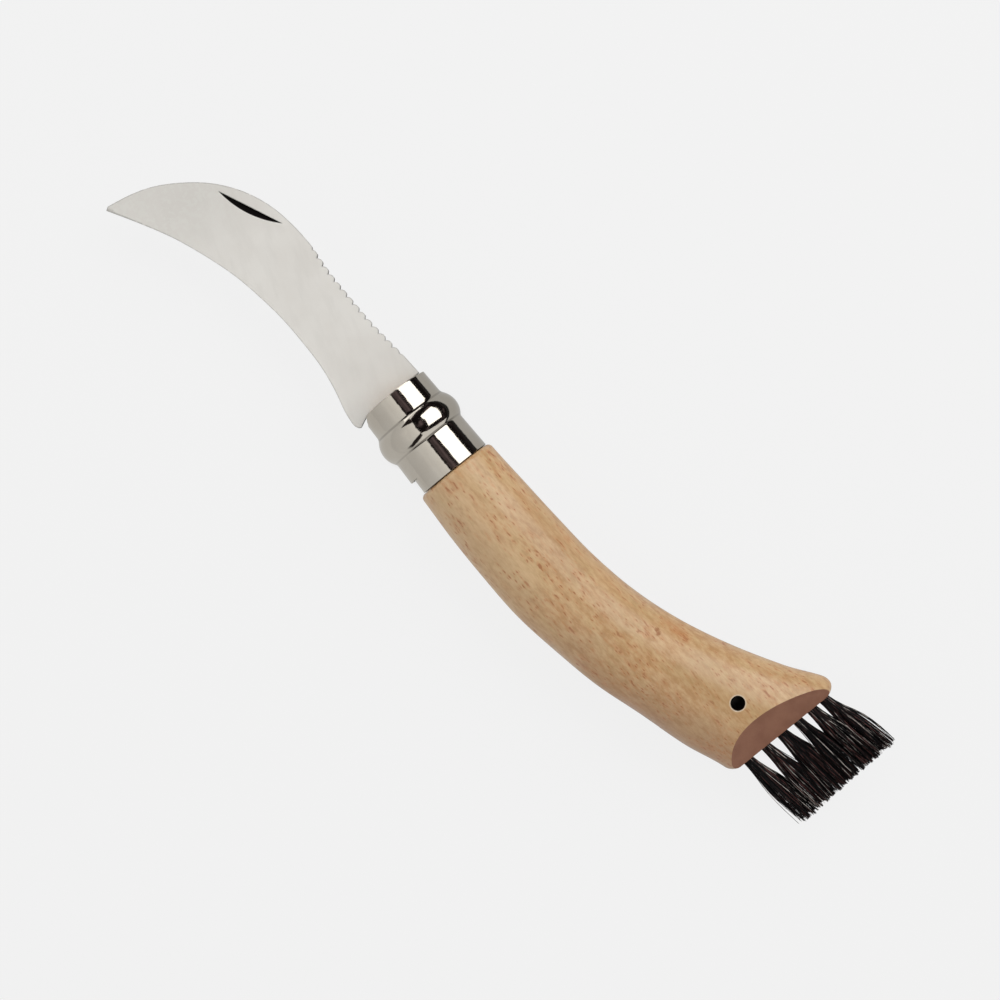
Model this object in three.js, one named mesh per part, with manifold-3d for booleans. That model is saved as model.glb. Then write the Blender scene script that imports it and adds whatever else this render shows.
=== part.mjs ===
// Folding mushroom knife with a curved blade, a turning lock ring and a brush in the handle's end.
// Millimetres. X runs from the brush to the blade's tip, Y from the spine to the cutting edge, and
// Z up, across the blade. While the pieces are made, zero is on the collar's axis under its bead.

import * as THREE from 'three';
import { mergeVertices } from 'three/addons/utils/BufferGeometryUtils.js';
import Module from 'manifold-3d';

const wasm = await Module();
wasm.setup();

// Clearances
const seatGap = 0.25;
const runningGap = 0.3;
const cutOverrun = 2;

// Lock ring, rolled from sheet steel
const ringFront = 9.85;
const ringRear = 12.7;
const ringFrontRadius = 9.2;
const ringRearRadius = 9.9;
const ringWall = 0.8;
const beadHeight = 1.4;
const beadFront = 4.3;
const beadRear = 4;
const beadFrontFillet = 1.8;
const beadRearFillet = 1.2;
const ringSlit = 3;
const flareDepth = 2.1;
const flareAngle = 35;
const camAngle = 75;
const thumbNotchDepth = 3.7;
const notchNearAngle = 42;
const notchFarAngle = 57;
const notchCornerAngle = 5;

// Ferrule, the fixed steel tube under the ring
const ferruleGap = 0.35;
const ferruleWall = 0.6;
const ferruleSlotEase = 0.2;
const ferruleLip = 0.25;

// Pivot pin, a rivet whose heads lie inside the ring's bead
const pivotOffset = 2.2;
const pinRadius = 1.2;
const pinHeadRadius = 1.6;
const pinHeadHeight = 0.55;

// Blade
const bladeThickness = 1.8;
const bladeLength = 76.8;
const heelWidth = 20;
const edgeThickness = 0.12;
const bevelWidth = 0.7;
const bevelThickness = 0.6;
const ricassoLength = 7;
const tipThickness = 0.8;
const foldAngle = 177;
const tangRadius = 6;
const tangFrontHalf = 7.65;
const heelOverhang = 1.3;
const heelRise = 2.85;
const grindStartShare = 0.48;
const taperStartShare = 0.72;

// Spine serrations and nail nick
const serrationCount = 15;
const serrationPitch = 2.29;
const serrationDepth = 0.75;
const serrationEndShare = 0.5;
const serrationStart = 6.3;
const serrationValleyShare = 0.08;
const serrationCurlShare = 0.3;
const serrationLandShare = 0.1;
const nickLength = 17.3;
const nickWidth = 1.6;
const nickDepth = 0.6;
const nickAlong = 55.5;
const nickAcross = -1.6;
const nickAngle = 24.4;

// Handle, turned and sawn from one piece of wood
const shoulder = 12.9;
const handleLength = 96.8;
const handleThickness = 21.6;
const shoulderRounding = 1.2;
const endSpineRounding = 4.7;
const endEdgeRounding = 2;
const slotFloorGap = 0.4;
const slotTipGap = 1;
const slotExitAngle = 8;
const bevelAngle = 42;
const endStrip = 5;
const lanyardRadius = 1.75;
const lanyardFromEnd = 13.2;
const lanyardAcross = -17.7;

// Brush
const tuftCount = 6;
const tuftSpan = 22.7;
const tuftFirst = -11.2;
const tuftHoleRadius = 1.4;
const tuftHoleDepth = 8;
const bristleLength = 20;
const bristleShortening = 2.4;
const bristleRaggedness = 1.1;
const bristleRadius = 0.1;
const bristlesInTuft = 56;
const brushTipSpan = 24.8;
const brushTipFirst = -14.7;
const tuftTipHalfWidth = 2.28;
const tuftTipHalfHeight = 3.1;
const tuftMiddleShare = 0.58;
const backingThickness = 0.8;
const backingWidth = 2.9;
const anchorThickness = 0.45;
const anchorWidth = 3.4;
const anchorHeight = 1.8;
const anchorChamfer = 0.5;

// Outlines, as shares of the blade's length and heel width, and of the handle's length and thickness
const spineShares = [
  [0, -0.412], [0.1, -0.388], [0.204, -0.35], [0.308, -0.337], [0.412, -0.335],
  [0.516, -0.36], [0.607, -0.338], [0.685, -0.28], [0.763, -0.157], [0.828, 0.01],
  [0.88, 0.203], [0.932, 0.472], [0.965, 0.706], [0.987, 0.965], [1, 1.23],
];
const edgeShares = [
  [0, 0.582], [0.048, 0.564], [0.126, 0.494], [0.204, 0.451], [0.282, 0.442],
  [0.386, 0.452], [0.49, 0.5], [0.594, 0.578], [0.698, 0.705], [0.802, 0.865],
  [0.906, 1.077], [0.994, 1.276],
];
const handleSpineShares = [-0.498, -0.532, -0.569, -0.62, -0.725, -0.905, -1.164, -1.486, -1.85];
const handleEdgeShares = [0.461, 0.483, 0.481, 0.456, 0.368, 0.252, 0.076, -0.093, -0.305];
const handleDepthShares = [0.96, 0.985, 1, 1.005, 1.01, 1.005, 0.97, 0.9, 0.826];
const handleLeanShares = [0, 0, 0, 0, 0, 0.005, 0.012, 0.023, 0.034];
const tuftShares = [0, 0.225, 0.446, 0.654, 0.84, 1];

// How finely round shapes are cut
const handleStations = 30;
const handleSides = 40;
const roundingSteps = 4;
const bladeStations = 42;
const columnStep = 7;
const holeSides = 24;
const curveSteps = 12;

const halfTurn = 180;
const goldenAngle = Math.PI * (3 - Math.sqrt(5));
const handleEnd = shoulder + handleLength;
const bladeStart = ringFront + ferruleLip + seatGap;
const heelBack = ringFront + seatGap - heelOverhang;
const halfBlade = bladeThickness / 2;
const slotWidth = bladeThickness + 2 * runningGap;
const ferruleSlot = slotWidth + 2 * ferruleSlotEase;
const pivot = new THREE.Vector2(0, pivotOffset);

const woodMaterial = () => new THREE.MeshStandardMaterial({ color: 0xc8a27a, roughness: 0.6, metalness: 0 });
const steelMaterial = () => new THREE.MeshStandardMaterial({ color: 0xd2cfc8, roughness: 0.35, metalness: 1 });
const polishedMaterial = () => new THREE.MeshStandardMaterial({ color: 0xbeb7a9, roughness: 0.12, metalness: 1 });
const bristleMaterial = () => new THREE.MeshStandardMaterial({ color: 0x2b2523, roughness: 0.7, metalness: 0 });

const radians = THREE.MathUtils.degToRad;
const blend = THREE.MathUtils.lerp;
const ease = THREE.MathUtils.smoothstep;

// Solids and meshes

function solid(geometry) {
  const bare = geometry.clone();
  bare.deleteAttribute('normal');
  bare.deleteAttribute('uv');
  const merged = mergeVertices(bare);
  return new wasm.Manifold(new wasm.Mesh({
    numProp: 3,
    vertProperties: merged.getAttribute('position').array,
    triVerts: new Uint32Array(merged.getIndex().array),
  }));
}

function meshOf(name, body, material) {
  const cut = body.getMesh();
  const geometry = new THREE.BufferGeometry();
  geometry.setAttribute('position', new THREE.BufferAttribute(cut.vertProperties, 3));
  geometry.setIndex(new THREE.BufferAttribute(cut.triVerts, 1));
  geometry.computeVertexNormals();
  const mesh = new THREE.Mesh(geometry, material);
  mesh.name = name;
  return mesh;
}

function indexed(points, faces) {
  const geometry = new THREE.BufferGeometry().setFromPoints(points);
  geometry.setIndex(faces);
  return geometry;
}

// A closed body through loops of points, each running from Y to Z as seen from the last loop
function loft(loops) {
  const count = loops[0].length;
  const last = (loops.length - 1) * count;
  const faces = [];
  for (let i = 0; i < loops.length - 1; i++) {
    for (let k = 0; k < count; k++) {
      const a = i * count + k;
      const b = i * count + (k + 1) % count;
      faces.push(a, b, b + count, a, b + count, a + count);
    }
  }
  for (let k = 1; k < count - 1; k++) {
    faces.push(0, k + 1, k, last, last + k, last + k + 1);
  }
  return indexed(loops.flat(), faces);
}

// A closed sheet between an outer and an inner grid, whose columns run round and rows along X
function sheet(outer, inner) {
  const rows = outer[0].length;
  const columns = outer.length;
  const lower = columns * rows;
  const faces = [];
  const quad = (a, b, c, d) => faces.push(a, b, c, a, c, d);
  for (let i = 0; i < columns - 1; i++) {
    for (let j = 0; j < rows - 1; j++) {
      const a = i * rows + j;
      quad(a, a + rows, a + rows + 1, a + 1);
      quad(lower + a, lower + a + 1, lower + a + rows + 1, lower + a + rows);
    }
    const rear = i * rows;
    const front = rear + rows - 1;
    quad(rear + rows, rear, lower + rear, lower + rear + rows);
    quad(front, front + rows, lower + front + rows, lower + front);
  }
  const end = (columns - 1) * rows;
  for (let j = 0; j < rows - 1; j++) {
    quad(j, j + 1, lower + j + 1, lower + j);
    quad(end + j + 1, end + j, lower + end + j, lower + end + j + 1);
  }
  return indexed([...outer.flat(), ...inner.flat()], faces);
}

function extruded(shape, depth, segments = curveSteps) {
  const geometry = new THREE.ExtrudeGeometry(shape, { depth, bevelEnabled: false, curveSegments: segments });
  return geometry.translate(0, 0, -depth / 2);
}

// Where the blade's points lie at the end of its fold
function folded(point) {
  return point.clone().rotateAround(pivot, radians(foldAngle));
}

function onRound(x, radius, angle) {
  return new THREE.Vector3(x, radius * Math.cos(radians(angle)), radius * Math.sin(radians(angle)));
}

// Angles from one key to the next, in steps no wider than asked
function roundAngles(keys, step) {
  const angles = [keys[0]];
  for (let i = 1; i < keys.length; i++) {
    const parts = Math.ceil((keys[i] - keys[i - 1]) / step);
    for (let k = 1; k <= parts; k++) {
      angles.push(blend(keys[i - 1], keys[i], k / parts));
    }
  }
  return angles;
}

// Collar

const ringTaper = (ringRearRadius - ringFrontRadius) / (ringFront + ringRear);


function coneRadius(x) {
  return ringFrontRadius + ringTaper * (ringFront - x);
}

// The bead is an arc that runs into the cone through a hollow arc, wider in front than behind
function beadRise(x) {
  const reach = x > 0 ? beadFront : beadRear;
  const fillet = x > 0 ? beadFrontFillet : beadRearFillet;
  const slope = 2 * Math.atan(beadHeight / reach);
  const radius = reach / Math.sin(slope) - fillet;
  const fromFoot = Math.max(0, reach - Math.abs(x));
  if (fromFoot < fillet * Math.sin(slope)) {
    return fillet - Math.sqrt(fillet ** 2 - fromFoot ** 2);
  }
  return beadHeight - radius + Math.sqrt(radius ** 2 - x ** 2);
}

const ringRadius = (x) => coneRadius(x) + beadRise(x);

const ferruleRadius = (x) => coneRadius(x) - ringWall - ferruleGap;
const neckRadius = (x) => ferruleRadius(x) - ferruleWall - seatGap;

// The front rim falls back in a rounded flare on the near side of the slit, and in a long cam on
// the far side, so that the rim turns past the blade's heel. Angles run from Y to Z.
function ringFrontAt(angle, slitAngle) {
  const back = angle < halfTurn
    ? 1 - ease(angle, slitAngle, flareAngle)
    : THREE.MathUtils.clamp((angle - (2 * halfTurn - camAngle)) / (camAngle - slitAngle), 0, 1);
  return ringFront - flareDepth * back;
}

// The rear rim is cut away where the folded blade's shoulder drops in
function ringRearAt(angle) {
  const near = 1 - ease(angle, notchNearAngle - notchCornerAngle, notchNearAngle);
  const farEdge = 2 * halfTurn - notchFarAngle;
  const far = ease(angle, farEdge, farEdge + notchCornerAngle);
  return -ringRear + thumbNotchDepth * Math.max(near, far);
}

function lockingRing() {
  const slitAngle = THREE.MathUtils.radToDeg(Math.asin(ringSlit / 2 / ringFrontRadius));
  const far = 2 * halfTurn;
  const cornerSteps = notchCornerAngle / roundingSteps;
  const keys = [slitAngle, notchNearAngle - notchCornerAngle];
  keys.push(...roundAngles([notchNearAngle - notchCornerAngle, notchNearAngle], cornerSteps).slice(1));
  keys.push(far - camAngle, far - notchFarAngle);
  keys.push(...roundAngles([far - notchFarAngle, far - notchFarAngle + notchCornerAngle], cornerSteps).slice(1));
  keys.push(far - slitAngle);
  const outer = [];
  const inner = [];
  for (const angle of roundAngles(keys, columnStep)) {
    const along = [ringRearAt(angle)];
    for (let j = 0; j <= curveSteps; j++) {
      const across = -Math.cos(Math.PI * j / curveSteps);
      along.push(across * (across > 0 ? beadFront : beadRear));
    }
    along.push(ringFrontAt(angle, slitAngle));
    outer.push(along.map((x) => onRound(x, ringRadius(x), angle)));
    inner.push(along.map((x) => onRound(x, ringRadius(x) - ringWall, angle)));
  }
  return solid(sheet(outer, inner));
}

function fixedFerrule() {
  const slotAngle = THREE.MathUtils.radToDeg(Math.asin(ferruleSlot / 2 / ferruleRadius(0)));
  const outer = [];
  const inner = [];
  for (const angle of roundAngles([slotAngle, 2 * halfTurn - slotAngle], columnStep)) {
    const along = [-shoulder + seatGap, ringFront + ferruleLip];
    outer.push(along.map((x) => onRound(x, ferruleRadius(x), angle)));
    inner.push(along.map((x) => onRound(x, ferruleRadius(x) - ferruleWall, angle)));
  }
  return solid(sheet(outer, inner)).subtract(crossHole(pivot, pinRadius + seatGap));
}

// A round hole through the knife from side to side
function crossHole(centre, radius) {
  const length = handleThickness + 2 * cutOverrun;
  const drill = new THREE.CylinderGeometry(radius, radius, length, holeSides);
  return solid(drill.rotateX(Math.PI / 2).translate(centre.x, centre.y, 0));
}

function pivotPin() {
  const seat = ferruleRadius(0) + seatGap;
  const top = seat + pinHeadHeight;
  const domeRadius = (pinHeadRadius ** 2 + pinHeadHeight ** 2) / (2 * pinHeadHeight);
  const half = [new THREE.Vector2(pinRadius, seat), new THREE.Vector2(pinHeadRadius, seat)];
  for (let k = roundingSteps - 1; k > 0; k--) {
    const radius = pinHeadRadius * k / roundingSteps;
    half.push(new THREE.Vector2(radius, top - domeRadius + Math.sqrt(domeRadius ** 2 - radius ** 2)));
  }
  half.push(new THREE.Vector2(0, top));
  const mirrored = half.map((point) => new THREE.Vector2(point.x, -point.y)).reverse();
  const profile = new THREE.LatheGeometry([...mirrored, ...half], holeSides);
  return solid(profile.rotateX(Math.PI / 2).translate(pivot.x, pivot.y, 0));
}

// Blade

const onBlade = ([along, across]) => new THREE.Vector2(bladeStart + along * bladeLength, across * heelWidth);
const spineCurve = new THREE.SplineCurve(spineShares.map(onBlade));
const edgeCurve = new THREE.SplineCurve(edgeShares.map(onBlade));

// The section at one station, from the edge over the near face to the spine and back
function bladeSection(share) {
  const spine = spineCurve.getPointAt(share);
  const edge = edgeCurve.getPointAt(share);
  const across = new THREE.Vector2().subVectors(spine, edge);
  const width = across.length();
  const thinned = blend(1, tipThickness / bladeThickness, ease(share, taperStartShare, 1));
  const half = halfBlade * thinned;
  const ground = ease(share * bladeLength, 0, ricassoLength);
  const grind = 1 - grindStartShare;
  const bevel = Math.min(bevelWidth / width, grind / 2);
  const near = [
    [0, blend(half, edgeThickness / 2 * thinned, ground)],
    [bevel, blend(half, bevelThickness / 2 * thinned, ground)],
    [grind, half],
    [1, half],
  ];
  const far = near.map(([along, height]) => [along, -height]).reverse();
  return [...near, ...far].map(([along, height]) => {
    const point = edge.clone().addScaledVector(across, along);
    return new THREE.Vector3(point.x, point.y, height);
  });
}

// The part inside the collar: a round tang on the pivot, the stop shoulder and the heel
function tang() {
  const heelFront = spineCurve.getPointAt(0).x;
  const top = edgeCurve.getPointAt(0).y;
  const shape = new THREE.Shape();
  shape.moveTo(heelFront, pivot.y - tangRadius);
  shape.lineTo(pivot.x, pivot.y - tangRadius);
  shape.absarc(pivot.x, pivot.y, tangRadius, -Math.PI / 2, -Math.PI * 3 / 2, true);
  shape.lineTo(heelBack + heelOverhang, tangFrontHalf);
  shape.lineTo(heelBack, tangFrontHalf + heelRise);
  shape.quadraticCurveTo(heelBack, top - seatGap, heelFront, top);
  shape.closePath();
  return solid(extruded(shape, bladeThickness));
}

// One notch between two rounded teeth, steeper on the side that faces the collar
function serration(place, slope, depth) {
  const half = serrationPitch / 2;
  const curl = serrationPitch * serrationCurlShare;
  const valley = serrationPitch * serrationValleyShare;
  const land = depth * serrationLandShare;
  const shape = new THREE.Shape();
  shape.moveTo(-half, -depth);
  shape.lineTo(half, -depth);
  shape.lineTo(half, -land);
  shape.quadraticCurveTo(curl, 0, valley, depth);
  shape.quadraticCurveTo(-curl / 2, 0, -half, -land);
  shape.closePath();
  const cutter = extruded(shape, bladeThickness + cutOverrun, roundingSteps);
  return solid(cutter.rotateZ(slope).translate(place.x, place.y, 0));
}

// A shallow half-moon for the fingernail, deepest at its straight side near the spine
function nailNick() {
  const half = nickLength / 2;
  const run = nickWidth * 2;
  const profile = new THREE.Shape();
  profile.moveTo(-half, 0);
  profile.quadraticCurveTo(0, -2 * nickDepth, half, 0);
  profile.lineTo(half, nickDepth);
  profile.lineTo(-half, nickDepth);
  profile.closePath();
  const slope = nickDepth / nickWidth;
  const cutter = new THREE.ExtrudeGeometry(profile, { depth: run, bevelEnabled: false, curveSegments: holeSides });
  cutter.applyMatrix4(new THREE.Matrix4().set(
    -1, 0, 0, 0,
    0, 0, 1, 0,
    0, 1, slope, halfBlade,
    0, 0, 0, 1,
  ));
  cutter.rotateZ(radians(nickAngle)).translate(bladeStart + nickAlong, nickAcross, 0);
  return solid(cutter);
}

function blade() {
  const loops = [];
  for (let i = 0; i <= bladeStations; i++) {
    loops.push(bladeSection(i / bladeStations));
  }
  let body = solid(loft(loops)).add(tang());
  const spineLength = spineCurve.getLength();
  for (let k = 0; k < serrationCount; k++) {
    const share = (serrationStart + k * serrationPitch) / spineLength;
    const slope = spineCurve.getTangentAt(share);
    const inner = k > 0 && k < serrationCount - 1;
    const depth = serrationDepth * (inner ? 1 : serrationEndShare);
    body = body.subtract(serration(spineCurve.getPointAt(share), Math.atan2(slope.y, slope.x), depth));
  }
  body = body.subtract(nailNick());
  return body.subtract(crossHole(pivot, pinRadius + seatGap));
}

// Handle

const outlineCurve = (shares) => new THREE.SplineCurve(shares.map((share, i) => new THREE.Vector2(
  i / (shares.length - 1), share * handleThickness)));
const handleSpine = outlineCurve(handleSpineShares);
const handleEdge = outlineCurve(handleEdgeShares);
const handleDepth = outlineCurve(handleDepthShares);
const handleLean = outlineCurve(handleLeanShares);

// How far the outline draws in near an end that is rounded over
function drawnIn(distance, rounding) {
  const left = Math.max(0, rounding - distance);
  return rounding - Math.sqrt(rounding ** 2 - left ** 2);
}

// An oval that grows thicker on the cutting-edge side towards the brush
function handleSection(fromShoulder) {
  const share = fromShoulder / handleLength;
  const fromEnd = handleLength - fromShoulder;
  const inset = drawnIn(fromShoulder, shoulderRounding);
  const low = handleSpine.getPoint(share).y + inset + drawnIn(fromEnd, endSpineRounding);
  const high = handleEdge.getPoint(share).y - inset - drawnIn(fromEnd, endEdgeRounding);
  const depth = handleDepth.getPoint(share).y / 2 - drawnIn(fromShoulder, shoulderRounding);
  const lean = handleLean.getPoint(share).y;
  const loop = [];
  for (let k = 0; k < handleSides; k++) {
    const angle = 2 * Math.PI * k / handleSides;
    const y = (high + low) / 2 + (high - low) / 2 * Math.cos(angle);
    const z = (depth + lean * Math.cos(angle)) * Math.sin(angle);
    loop.push(new THREE.Vector3(-shoulder - fromShoulder, y, z));
  }
  return loop;
}

function handleBlank() {
  const places = [];
  for (let k = 0; k <= roundingSteps; k++) {
    const part = 1 - Math.cos(Math.PI / 2 * k / roundingSteps);
    places.push(shoulderRounding * part, handleLength - endSpineRounding * part);
  }
  for (let i = 1; i < handleStations; i++) {
    places.push(blend(shoulderRounding, handleLength - endSpineRounding, i / handleStations));
  }
  places.sort((a, b) => b - a);
  return solid(loft(places.map(handleSection)));
}

function neck() {
  const rear = -shoulder - cutOverrun;
  const profile = [
    new THREE.Vector2(0, rear),
    new THREE.Vector2(neckRadius(-shoulder), rear),
    new THREE.Vector2(neckRadius(-shoulder), -shoulder),
    new THREE.Vector2(neckRadius(ringFront), ringFront),
    new THREE.Vector2(0, ringFront),
  ];
  return solid(new THREE.LatheGeometry(profile, holeSides * 2).rotateZ(-Math.PI / 2));
}

// The saw cut for the blade: its floor follows the folded edge, and its end the tip's swing
function bladeSlot() {
  const frontFloor = pivot.y - tangRadius - slotFloorGap;
  const heel = folded(edgeCurve.getPointAt(0));
  const heelFloor = heel.y - slotFloorGap;
  const tip = edgeCurve.getPointAt(1);
  const swing = tip.distanceTo(pivot) + slotTipGap;
  const tipAngle = radians(foldAngle) + Math.atan2(tip.y - pivot.y, tip.x - pivot.x);
  const above = handleThickness;
  const shape = new THREE.Shape();
  shape.moveTo(ringFront + cutOverrun, above);
  shape.lineTo(ringFront + cutOverrun, frontFloor);
  shape.lineTo(pivot.x - tangRadius - seatGap, frontFloor);
  shape.lineTo(heel.x + bladeStart - heelBack + slotFloorGap, heelFloor);
  for (const point of edgeCurve.getSpacedPoints(bladeStations / 2).map(folded)) {
    shape.lineTo(point.x, point.y - slotFloorGap);
  }
  shape.absarc(pivot.x, pivot.y, swing, tipAngle, radians(halfTurn - slotExitAngle), true);
  shape.lineTo(-swing, above);
  shape.closePath();
  return solid(extruded(shape, slotWidth));
}

// The two sawn faces that leave a narrow flat strip across the handle's end
function endBevel(side) {
  const block = new THREE.BoxGeometry(handleThickness * 2, handleLength, handleThickness * 2);
  block.translate(0, 0, handleThickness);
  block.rotateY(-radians(bevelAngle));
  block.translate(-handleEnd, lanyardAcross, endStrip / 2);
  const body = solid(block);
  return side > 0 ? body : body.rotate([halfTurn, 0, 0]).translate([0, 2 * lanyardAcross, 0]);
}

function tuftPlace(k) {
  return tuftFirst - tuftSpan * tuftShares[k];
}

function capsule(length, width) {
  const straight = (length - width) / 2;
  const shape = new THREE.Shape();
  shape.absarc(straight, 0, width / 2, -Math.PI / 2, Math.PI / 2, false);
  shape.absarc(-straight, 0, width / 2, Math.PI / 2, Math.PI * 3 / 2, false);
  shape.closePath();
  return shape;
}

// A long rounded plate across the handle's end, from a depth below the end face to its surface
function endPlate(grow, depth, proud) {
  const length = tuftSpan + backingWidth + 2 * grow;
  const plate = extruded(capsule(length, backingWidth + 2 * grow), depth + proud, roundingSteps * 2);
  plate.rotateZ(Math.PI / 2).rotateY(Math.PI / 2);
  return solid(plate.translate(-handleEnd + (depth - proud) / 2, tuftFirst - tuftSpan / 2, 0));
}

function roundAlong(radius, from, to, y, sides) {
  const rod = new THREE.CylinderGeometry(radius, radius, to - from, sides);
  return solid(rod.rotateZ(Math.PI / 2).translate((from + to) / 2, y, 0));
}

const tuftBottom = -handleEnd + backingThickness + tuftHoleDepth;

function anchorShape(grow) {
  const half = anchorWidth / 2 + grow;
  const low = -anchorHeight / 2 - grow;
  const high = anchorHeight / 2 + grow;
  const shape = new THREE.Shape();
  shape.moveTo(low, -half);
  shape.lineTo(high - anchorChamfer, -half);
  shape.lineTo(high, -half + anchorChamfer);
  shape.lineTo(high, half - anchorChamfer);
  shape.lineTo(high - anchorChamfer, half);
  shape.lineTo(low, half);
  shape.closePath();
  return shape;
}

// The flat metal anchor that pins a folded tuft at the bottom of its hole
function tuftAnchor(k, grow) {
  const piece = extruded(anchorShape(grow), anchorThickness + 2 * grow).rotateX(Math.PI / 2);
  return solid(piece.translate(tuftBottom - anchorHeight / 2, tuftPlace(k), 0));
}

function handleBody() {
  let body = handleBlank().add(neck()).subtract(bladeSlot());
  body = body.subtract(crossHole(pivot, pinRadius + seatGap));
  body = body.subtract(crossHole(new THREE.Vector2(-handleEnd + lanyardFromEnd, lanyardAcross), lanyardRadius));
  body = body.subtract(endBevel(1)).subtract(endBevel(-1));
  body = body.subtract(endPlate(seatGap, backingThickness + seatGap, cutOverrun));
  for (let k = 0; k < tuftCount; k++) {
    const hole = roundAlong(tuftHoleRadius, -handleEnd, tuftBottom + seatGap, tuftPlace(k), holeSides / 2);
    body = body.subtract(hole).subtract(tuftAnchor(k, seatGap));
  }
  return body;
}

// Brush

// A fixed, even scatter between 0 and 1 for each number
function scatter(number) {
  return number * Math.SQRT2 % 1;
}

// A three-sided strand in two straight stretches, which leans and spreads with its tuft
function bristle(k, i) {
  const reach = Math.sqrt((i + 1 / 2) / bristlesInTuft);
  const around = i * goldenAngle;
  const side = new THREE.Vector2(reach * Math.cos(around), reach * Math.sin(around));
  const rootRadius = tuftHoleRadius - 2 * seatGap + bristleRadius;
  const towardsSpine = k / (tuftCount - 1);
  const ragged = bristleRaggedness * scatter(k * bristlesInTuft + i);
  const length = bristleLength - bristleShortening * towardsSpine - ragged;
  const tipY = brushTipFirst - brushTipSpan * towardsSpine;
  const loops = [];
  for (const [along, spread] of [[1, 1], [1 / 2, tuftMiddleShare], [0, 0]]) {
    const x = -handleEnd + backingThickness / 2 - (length + backingThickness / 2) * along;
    const y = blend(tuftPlace(k) + side.x * rootRadius, tipY + side.x * tuftTipHalfWidth, spread);
    const z = blend(side.y * rootRadius, side.y * tuftTipHalfHeight, spread);
    loops.push([0, 1, 2].map((corner) => {
      const angle = around + corner * Math.PI * 2 / 3;
      return new THREE.Vector3(x, y + bristleRadius * Math.cos(angle), z + bristleRadius * Math.sin(angle));
    }));
  }
  return solid(loft(loops));
}

function brushBristles() {
  let body = endPlate(0, backingThickness, 0);
  for (let k = 0; k < tuftCount; k++) {
    const root = roundAlong(tuftHoleRadius - seatGap, -handleEnd + backingThickness / 2,
      tuftBottom - seatGap, tuftPlace(k), holeSides / 2);
    body = body.add(root.subtract(tuftAnchor(k, seatGap)));
    for (let i = 0; i < bristlesInTuft; i++) {
      body = body.add(bristle(k, i));
    }
  }
  return body;
}

const group = new THREE.Group();
group.add(meshOf('handle_body', handleBody(), woodMaterial()));
group.add(meshOf('fixed_ferrule', fixedFerrule(), polishedMaterial()));
group.add(meshOf('locking_ring', lockingRing(), polishedMaterial()));
group.add(meshOf('blade', blade(), steelMaterial()));
group.add(meshOf('pivot_pin', pivotPin(), steelMaterial()));
group.add(meshOf('brush_bristles', brushBristles(), bristleMaterial()));
for (let k = 0; k < tuftCount; k++) {
  group.add(meshOf(`tuft_anchor_${k + 1}`, tuftAnchor(k, 0), steelMaterial()));
}

// The finished knife stands with its zero under the middle of its outer box
const box = new THREE.Box3().setFromObject(group);
const middle = box.getCenter(new THREE.Vector3());
group.position.set(-middle.x, -middle.y, -box.min.z);

export default group;
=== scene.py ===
# The looks of a folding mushroom knife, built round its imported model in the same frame, in metres.
# Places are given in millimetres from the collar's axis under its bead: X to the blade's tip,
# Y from the spine to the cutting edge, Z up across the blade.

import math
import random

import bpy
from mathutils import Matrix, Vector

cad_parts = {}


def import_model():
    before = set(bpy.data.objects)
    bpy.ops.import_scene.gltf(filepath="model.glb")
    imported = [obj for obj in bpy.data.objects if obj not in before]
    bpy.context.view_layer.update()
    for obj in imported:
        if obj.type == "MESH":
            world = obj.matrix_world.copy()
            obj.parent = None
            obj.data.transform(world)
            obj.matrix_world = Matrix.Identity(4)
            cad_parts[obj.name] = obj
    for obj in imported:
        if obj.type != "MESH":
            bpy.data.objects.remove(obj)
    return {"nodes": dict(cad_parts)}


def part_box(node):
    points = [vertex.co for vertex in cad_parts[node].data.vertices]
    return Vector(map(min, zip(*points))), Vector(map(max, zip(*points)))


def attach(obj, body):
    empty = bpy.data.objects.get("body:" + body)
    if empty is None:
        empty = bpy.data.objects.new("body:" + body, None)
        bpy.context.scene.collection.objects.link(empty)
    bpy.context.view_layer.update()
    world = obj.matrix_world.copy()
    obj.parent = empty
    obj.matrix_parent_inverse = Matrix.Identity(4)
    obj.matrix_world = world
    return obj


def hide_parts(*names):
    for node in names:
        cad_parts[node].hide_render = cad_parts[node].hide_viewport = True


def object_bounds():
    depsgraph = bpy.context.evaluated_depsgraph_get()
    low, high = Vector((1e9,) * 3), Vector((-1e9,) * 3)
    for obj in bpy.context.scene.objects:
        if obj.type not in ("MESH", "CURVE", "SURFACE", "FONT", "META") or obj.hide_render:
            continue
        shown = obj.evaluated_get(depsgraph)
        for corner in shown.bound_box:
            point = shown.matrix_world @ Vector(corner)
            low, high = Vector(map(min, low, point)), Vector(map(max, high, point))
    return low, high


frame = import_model()
cad_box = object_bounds()

MM = 0.001
PIVOT_OFFSET = 2.2

pin_low, pin_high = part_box("pivot_pin")
AXIS = (pin_low + pin_high) / 2 - Vector((0, PIVOT_OFFSET * MM, 0))
FLOOR = cad_box[0].z


def place(x, y, z=0.0):
    """The point of the frame for a place on the knife in millimetres."""
    return AXIS + Vector((x, y, z)) * MM


# Sizes, in millimetres

MARGIN = 0.02
MERGE = 0.002
OVERRUN = 1

SHOULDER = 12.9
HANDLE_LENGTH = 96.8
HANDLE_THICKNESS = 21.6
HANDLE_END = SHOULDER + HANDLE_LENGTH
SHOULDER_ROUNDING = 1.2
END_SPINE_ROUNDING = 4.7
END_EDGE_ROUNDING = 2
HANDLE_STATIONS = 90
HANDLE_SIDES = 112
ROUNDING_STEPS = 9

# Where the handle's spine and edge lie, its depth and the lean of its oval, as shares of its
# thickness at even steps from the shoulder to the end

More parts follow.
